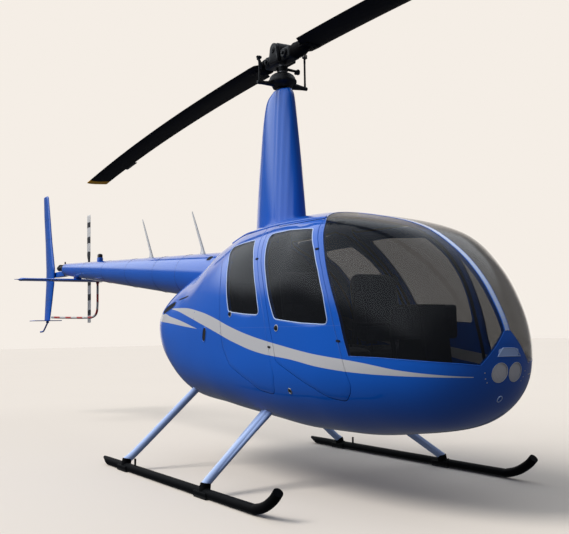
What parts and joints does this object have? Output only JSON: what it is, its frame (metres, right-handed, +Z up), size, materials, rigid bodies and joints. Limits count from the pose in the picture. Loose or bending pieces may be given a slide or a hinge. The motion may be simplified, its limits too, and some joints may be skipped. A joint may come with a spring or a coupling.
{
  "type": "light helicopter",
  "caption": "Light four-seat piston helicopter with a tall mast fairing, two-blade rotors and skids, deep blue with warm grey side stripes.",
  "frame": {"origin": "on the ground at the middle of the whole machine's length and width, 0.6406 m behind the main rotor's axis", "axes": "+X towards the nose along the fuselage, +Y to port, +Z up"},
  "size_m": [11.3358, 2.122, 3.32],
  "materials": {
    "blue_paint": "deep glossy blue",
    "smoked_glass": "smoked acrylic",
    "black_metal": "satin black",
    "blade_black": "matt black",
    "blade_stripes": "white and black bands",
    "guard_stripes": "red and grey bands",
    "grey_cloth": "woven dark grey",
    "trim_grey": "dark grey trim",
    "light_grey": "light grey",
    "lamp_glass": "clear lamp lens over a mirror",
    "engine_metal": "cast"
  },
  "bodies": {
    "airframe": {"cabin_frame": "blue_paint", "aft_cowl": "blue_paint", "mast_fairing": "blue_paint", "tail_boom": "blue_paint", "tail_gearbox": "black_metal", "fin_bracket": "blue_paint", "vertical_fin": "blue_paint", "fin_end_plate": "blue_paint", "stabiliser": "blue_paint", "beacon": "blue_paint", "cross_tube_front": "blue_paint", "cross_tube_rear": "blue_paint", "windshield_right": "smoked_glass", "windshield_left": "smoked_glass", "landing_lamp_right": "lamp_glass", "landing_lamp_left": "lamp_glass", "firewall": "trim_grey", "cabin_floor": "trim_grey", "mast_column": "trim_grey", "mast_tube": "black_metal", "tail_guard": "guard_stripes", "tail_skid": "black_metal", "antenna_fore": "light_grey", "antenna_aft": "light_grey", "skid_right": "black_metal", "skid_left": "black_metal", "engine_block": "engine_metal", "front_seat_base_right": "trim_grey", "front_seat_base_left": "trim_grey", "rear_seat_base": "trim_grey", "front_seat_right": "grey_cloth", "front_seat_left": "grey_cloth", "rear_seat_right": "grey_cloth", "rear_seat_left": "grey_cloth", "console": "black_metal", "cyclic_stick": "black_metal"},
    "front_right_door": {"front_door_right": "blue_paint", "front_window_right": "smoked_glass"},
    "front_left_door": {"front_door_left": "blue_paint", "front_window_left": "smoked_glass"},
    "rear_right_door": {"rear_door_right": "blue_paint", "rear_window_right": "smoked_glass"},
    "rear_left_door": {"rear_door_left": "blue_paint", "rear_window_left": "smoked_glass"},
    "main_rotor": {"rotor_shaft": "black_metal", "swashplate": "black_metal", "rotor_hub": "black_metal", "pitch_link_1": "black_metal", "pitch_link_2": "black_metal", "main_blade_fore": "blade_black", "main_blade_aft": "blade_black"},
    "tail_rotor": {"tail_rotor_hub": "black_metal", "tail_blade_upper": "blade_stripes", "tail_blade_lower": "blade_stripes"}
  },
  "joints": [
    {"name": "main_rotor_spin", "type": "hinge", "parent": "airframe", "child": "main_rotor", "pos_m": [0.6406, 0, 3.198], "axis": [0, 0, 1], "continuous": true},
    {"name": "tail_rotor_spin", "type": "hinge", "parent": "airframe", "child": "tail_rotor", "pos_m": [-5.0144, 0.405, 1.943], "axis": [0, 1, 0], "continuous": true},
    {"name": "front_right_door_hinge", "type": "hinge", "parent": "airframe", "child": "front_right_door", "pos_m": [2.1456, -0.616, 1], "axis": [-0.3261, 0, 0.9453], "range_deg": [0, 80]},
    {"name": "front_left_door_hinge", "type": "hinge", "parent": "airframe", "child": "front_left_door", "pos_m": [2.1456, 0.616, 1], "axis": [0.3261, 0, -0.9453], "range_deg": [0, 80]},
    {"name": "rear_right_door_hinge", "type": "hinge", "parent": "airframe", "child": "rear_right_door", "pos_m": [1.4456, -0.672, 1], "axis": [-0.4148, 0.1226, 0.9016], "range_deg": [0, 75]},
    {"name": "rear_left_door_hinge", "type": "hinge", "parent": "airframe", "child": "rear_left_door", "pos_m": [1.4456, 0.672, 1], "axis": [0.4148, 0.1226, -0.9016], "range_deg": [0, 75]}
  ]
}
